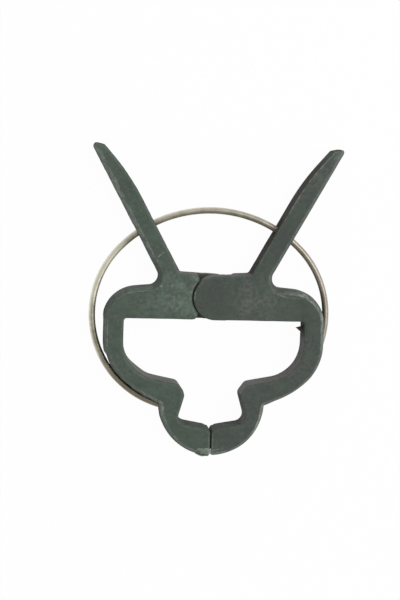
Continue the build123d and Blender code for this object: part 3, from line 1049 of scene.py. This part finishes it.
def pick(tree, test, no, yes):
    """One of two numbers, by a test."""
    node = tree.nodes.new("GeometryNodeSwitch")
    node.input_type = "FLOAT"
    for label, value in (("Switch", test), ("False", no), ("True", yes)):
        tree.links.new(value, node.inputs[label])
    return node.outputs["Output"]


def combine(tree, *parts):
    """Vector from three sockets."""
    node = tree.nodes.new("ShaderNodeCombineXYZ")
    for socket, part in zip(node.inputs, parts):
        tree.links.new(part, socket)
    return node.outputs["Vector"]


def capture(tree, geometry, kind, label, value):
    """Keep a value on a geometry; gives the geometry and the kept value."""
    node = tree.nodes.new("GeometryNodeCaptureAttribute")
    node.capture_items.new(kind, label)
    tree.links.new(geometry, node.inputs["Geometry"])
    tree.links.new(value, node.inputs[label])
    return node.outputs["Geometry"], node.outputs[label]


def ring_spot(tree, source):
    """Place of each point of a curve on the three arcs, by its heading."""
    factor = tree.nodes.new("GeometryNodeSplineParameter").outputs["Factor"]
    span = math_node(tree, "SUBTRACT", source["Last Heading"], source["First Heading"])
    heading = math_node(tree, "ADD", source["First Heading"], math_node(tree, "MULTIPLY", factor, span))
    across = math_node(tree, "COSINE", heading)
    along = math_node(tree, "SINE", heading)
    on_top = math_node(tree, "GREATER_THAN", along, math_node(tree, "SINE", source["Turn"]))
    on_right = math_node(tree, "GREATER_THAN", across, 0.0)
    left_offset = math_node(tree, "MULTIPLY", source["Side Offset"], -1.0)
    side = pick(tree, on_right, left_offset, source["Side Offset"])
    offset = math_node(tree, "MULTIPLY", side, math_node(tree, "SUBTRACT", 1.0, on_top))
    radius = pick(tree, on_top, source["Side Radius"], source["Top Radius"])
    depth = pick(tree, on_top, source["Side Depth"], source["Top Depth"])
    x = math_node(tree, "ADD", math_node(tree, "MULTIPLY", radius, across), offset)
    x = math_node(tree, "ADD", x, source["Shift"])
    y = math_node(tree, "SUBTRACT", math_node(tree, "MULTIPLY", radius, along), depth)
    return combine(tree, x, y, source["Height"])


def ring_tree():
    """Geometry nodes for a round wire on three tangent arcs, with its place along and across stored."""
    tree = bpy.data.node_groups.new("Wire ring", "GeometryNodeTree")
    tree.is_modifier = True
    for kind, labels in RING_INPUTS:
        for label in labels:
            tree.interface.new_socket(label, in_out="INPUT", socket_type=kind)
    tree.interface.new_socket("Geometry", in_out="OUTPUT", socket_type="NodeSocketGeometry")
    source = tree.nodes.new("NodeGroupInput").outputs
    sink = tree.nodes.new("NodeGroupOutput")
    link = tree.links.new

    line = tree.nodes.new("GeometryNodeCurvePrimitiveLine")
    resample = tree.nodes.new("GeometryNodeResampleCurve")
    link(line.outputs["Curve"], resample.inputs["Curve"])
    link(source["Steps"], resample.inputs["Count"])
    place = tree.nodes.new("GeometryNodeSetPosition")
    link(resample.outputs["Curve"], place.inputs["Geometry"])
    link(ring_spot(tree, source), place.inputs["Position"])
    upright = tree.nodes.new("GeometryNodeSetCurveNormal")
    upright.mode = "Z_UP"
    link(place.outputs["Geometry"], upright.inputs["Curve"])
    length = tree.nodes.new("GeometryNodeSplineParameter").outputs["Length"]
    path, along = capture(tree, upright.outputs["Curve"], "FLOAT", "Length", length)

    circle = tree.nodes.new("GeometryNodeCurvePrimitiveCircle")
    link(source["Sides"], circle.inputs["Resolution"])
    link(source["Wire Radius"], circle.inputs["Radius"])
    spot = tree.nodes.new("GeometryNodeInputPosition").outputs["Position"]
    profile, side = capture(tree, circle.outputs["Curve"], "VECTOR", "Side", spot)
    side = separate(tree, side)
    across = [math_node(tree, "DIVIDE", side[axis], source["Wire Radius"]) for axis in "XY"]

    tube = tree.nodes.new("GeometryNodeCurveToMesh")
    tube.inputs["Fill Caps"].default_value = True
    link(path, tube.inputs["Curve"])
    link(profile, tube.inputs["Profile Curve"])
    store = tree.nodes.new("GeometryNodeStoreNamedAttribute")
    store.data_type = "FLOAT_VECTOR"
    store.domain = "POINT"
    store.inputs["Name"].default_value = "wire_place"
    link(tube.outputs["Mesh"], store.inputs["Geometry"])
    link(combine(tree, *across, along), store.inputs["Value"])
    smooth = tree.nodes.new("GeometryNodeSetShadeSmooth")
    link(store.outputs["Geometry"], smooth.inputs["Geometry"])
    real = tree.nodes.new("GeometryNodeRealizeInstances")
    link(smooth.outputs["Geometry"], real.inputs["Geometry"])
    finish = tree.nodes.new("GeometryNodeSetMaterial")
    link(real.outputs["Geometry"], finish.inputs["Geometry"])
    link(source["Material"], finish.inputs["Material"])
    link(finish.outputs["Geometry"], sink.inputs["Geometry"])
    return tree


def set_inputs(modifier, values):
    """Set a node modifier's inputs by their sockets' identifiers."""
    for item in modifier.node_group.interface.items_tree:
        if item.item_type == "SOCKET" and item.in_out == "INPUT":
            modifier[item.identifier] = values[item.name]


# Stage

def seen_directly(tree):
    """1 for rays that come from the camera, a mirror or glass, as one socket."""
    path = tree.nodes.new("ShaderNodeLightPath")
    seen = math_node(tree, "MAXIMUM", path.outputs["Is Camera Ray"], path.outputs["Is Glossy Ray"])
    return math_node(tree, "MAXIMUM", seen, path.outputs["Is Transmission Ray"])


def floor_material():
    """White that the camera sees as the background, with the clip's shadow left in it."""
    material = bpy.data.materials.new("white_floor")
    material.use_nodes = True
    tree = material.node_tree
    tree.nodes.remove(tree.nodes["Principled BSDF"])
    matte = tree.nodes.new("ShaderNodeBsdfDiffuse")
    matte.inputs["Color"].default_value = (FLOOR_WHITE, FLOOR_WHITE, FLOOR_WHITE, 1)
    glow = tree.nodes.new("ShaderNodeEmission")
    glow.inputs["Strength"].default_value = 1.0
    mixed = tree.nodes.new("ShaderNodeMixShader")
    tree.links.new(math_node(tree, "MULTIPLY", seen_directly(tree), FLOOR_GLOW), mixed.inputs["Fac"])
    tree.links.new(matte.outputs["BSDF"], mixed.inputs[1])
    tree.links.new(glow.outputs["Emission"], mixed.inputs[2])
    tree.links.new(mixed.outputs["Shader"], tree.nodes["Material Output"].inputs["Surface"])
    return material


def lay_floor():
    """Large white floor that still takes the clip's shadow."""
    mesh = bpy.data.meshes.new("floor")
    sides = ((-1, -1), (1, -1), (1, 1), (-1, 1))
    corners = [(x * FLOOR_HALF_WIDTH, y * FLOOR_HALF_WIDTH, FLOOR_HEIGHT) for x, y in sides]
    mesh.from_pydata(corners, [], [(0, 1, 2, 3)])
    floor = add_object("floor", mesh)
    mesh.materials.append(floor_material())


def add_lamp(name, place, size, power):
    """Square soft lamp that faces the hinge."""
    data = bpy.data.lights.new(name, "AREA")
    data.size = size
    data.energy = power
    lamp = bpy.data.objects.new(name, data)
    lamp.location = place
    lamp.rotation_euler = (Vector(place) - PIVOT).to_track_quat("Z", "Y").to_euler()
    bpy.context.scene.collection.objects.link(lamp)


def light_studio(scene, settings):
    """Even white surround with one large soft lamp."""
    world = bpy.data.worlds.new("surround")
    world.use_nodes = True
    tree = world.node_tree
    background = tree.nodes["Background"]
    background.inputs["Color"].default_value = (1, 1, 1, 1)
    strength = tree.nodes.new("ShaderNodeMapRange")
    tree.links.new(tree.nodes.new("ShaderNodeLightPath").outputs["Is Camera Ray"], strength.inputs["Value"])
    strength.inputs["To Min"].default_value = settings.sky
    strength.inputs["To Max"].default_value = 1.0
    tree.links.new(strength.outputs["Result"], background.inputs["Strength"])
    scene.world = world
    add_lamp("key", LAMP_PLACE, LAMP_SIZE, settings.key)


def place_camera(scene, settings):
    """Camera on the photograph's line of sight, with the hinge on its pixel."""
    back = Vector((-tan(settings.lean_left), tan(settings.lean_up), 1)).normalized()
    up = Vector((-sin(settings.roll), cos(settings.roll), 0))
    up = (up - up.project(back)).normalized()
    right = up.cross(back)
    place = PIVOT + back * settings.distance
    aim = PIVOT + right * ((PHOTO_WIDTH / 2 - PIVOT_PIXEL[0]) / PIXELS_PER_METRE)
    aim = aim + up * ((PIVOT_PIXEL[1] - PHOTO_HEIGHT / 2) / PIXELS_PER_METRE)
    back = (place - aim).normalized()
    up = (up - up.project(back)).normalized()
    right = up.cross(back)
    data = bpy.data.cameras.new("camera")
    data.sensor_width = SENSOR_WIDTH
    data.lens = PIXELS_PER_METRE * settings.distance * SENSOR_WIDTH / PHOTO_HEIGHT
    data.clip_start = settings.distance / NEAR_PARTS
    camera = bpy.data.objects.new("camera", data)
    camera.matrix_world = Matrix.Translation(place) @ Matrix((right, up, back)).transposed().to_4x4()
    scene.collection.objects.link(camera)
    scene.camera = camera


# Operators

class CLIP_OT_levers(bpy.types.Operator):
    """Skin both levers and give them their moulded, rubbed plastic"""
    bl_idname = "clip.levers"
    bl_label = "Levers"

    def execute(self, context):
        settings = context.scene.clip_levers
        flash = context.scene.clip_flash
        groups = shared_groups()
        for node, colour in ((LEFT_LEVER, settings.left_colour), (RIGHT_LEVER, settings.right_colour)):
            piece = even_skin(node, node + "_skin", settings.skin_cell)
            surface = surface_of(piece.data)
            mould(piece.data, surface, settings, LOOKS[node], flash.flake_bed)
            paint(piece.data, surface, LOOKS[node])
            plastic = plastic_material(node + "_plastic", colour, settings, flash.flake_colour, groups)
            piece.data.materials.clear()
            piece.data.materials.append(plastic)
            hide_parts(node)
            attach(piece, node)
        return {"FINISHED"}


class CLIP_OT_flash(bpy.types.Operator):
    """Add what the mould leaves: the film over the gate and the nib on the wall"""
    bl_idname = "clip.flash"
    bl_label = "Moulding flash"

    def execute(self, context):
        settings = context.scene.clip_flash
        flake = add_object("gate_flake", flake_mesh(settings))
        solid = flake.modifiers.new("Film", "SOLIDIFY")
        solid.thickness = settings.flake_thickness
        solid.offset = -1
        freeze(flake)
        flake.data.materials.append(flake_material(settings, shared_groups()))
        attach(flake, LEFT_LEVER)
        nib = add_object("wall_nib", nib_mesh(settings))
        nib.data.materials.append(bpy.data.materials[RIGHT_LEVER + "_plastic"])
        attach(nib, RIGHT_LEVER)
        return {"FINISHED"}


class CLIP_OT_ring(bpy.types.Operator):
    """Sweep the open wire ring: a side for each lever, and a bow between them"""
    bl_idname = "clip.ring"
    bl_label = "Wire ring"

    def execute(self, context):
        settings = context.scene.clip_ring
        values, headings = ring_arcs(settings)
        values["Sides"] = settings.sides
        values["Material"] = wire_material(settings, shared_groups())
        tree = ring_tree()
        pieces = []
        for name, first, last in zip(("wire_right", "wire_bow", "wire_left"), headings, headings[1:]):
            piece = add_object(name, bpy.data.meshes.new(name))
            values["First Heading"] = first
            values["Last Heading"] = last
            values["Steps"] = round((last - first) / settings.step)
            sweep = piece.modifiers.new("Wire ring", "NODES")
            sweep.node_group = tree
            set_inputs(sweep, values)
            freeze(piece)
            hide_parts(RING)
            pieces.append(piece)
        right, bow, left = pieces
        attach(right, RIGHT_LEVER)
        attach(left, LEFT_LEVER)
        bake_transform(bow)
        return {"FINISHED"}


class CLIP_OT_stage(bpy.types.Operator):
    """Lay the floor, hang the lamp and place the camera"""
    bl_idname = "clip.stage"
    bl_label = "Stage"

    def execute(self, context):
        settings = context.scene.clip_stage
        lay_floor()
        light_studio(context.scene, settings)
        place_camera(context.scene, settings)
        context.scene.view_settings.view_transform = "Standard"
        return {"FINISHED"}


# Panel and registration

class CLIP_PT_panel(bpy.types.Panel):
    """Buttons and settings for the clip"""
    bl_idname = "CLIP_PT_panel"
    bl_label = "Plant Clip"
    bl_space_type = "VIEW_3D"
    bl_region_type = "UI"
    bl_category = "Clip"

    def draw(self, context):
        for operator, settings in PANEL_ROWS:
            self.layout.operator(operator)
            group = getattr(context.scene, settings)
            for name in group.__annotations__:
                self.layout.prop(group, name)


PANEL_ROWS = (
    ("clip.levers", "clip_levers"),
    ("clip.flash", "clip_flash"),
    ("clip.ring", "clip_ring"),
    ("clip.stage", "clip_stage"),
)
SETTINGS = (
    ("clip_levers", ClipLeverSettings),
    ("clip_flash", ClipFlashSettings),
    ("clip_ring", ClipRingSettings),
    ("clip_stage", ClipStageSettings),
)
CLASSES = (
    ClipLeverSettings, ClipFlashSettings, ClipRingSettings, ClipStageSettings,
    CLIP_OT_levers, CLIP_OT_flash, CLIP_OT_ring, CLIP_OT_stage, CLIP_PT_panel,
)


def register():
    for kind in CLASSES:
        bpy.utils.register_class(kind)
    for name, kind in SETTINGS:
        setattr(bpy.types.Scene, name, PointerProperty(type=kind))


def unregister():
    for name, _ in SETTINGS:
        delattr(bpy.types.Scene, name)
    for kind in reversed(CLASSES):
        bpy.utils.unregister_class(kind)


def main():
    register()
    bpy.ops.clip.levers()
    bpy.ops.clip.flash()
    bpy.ops.clip.ring()
    bpy.ops.clip.stage()


if __name__ == "__main__":
    main()
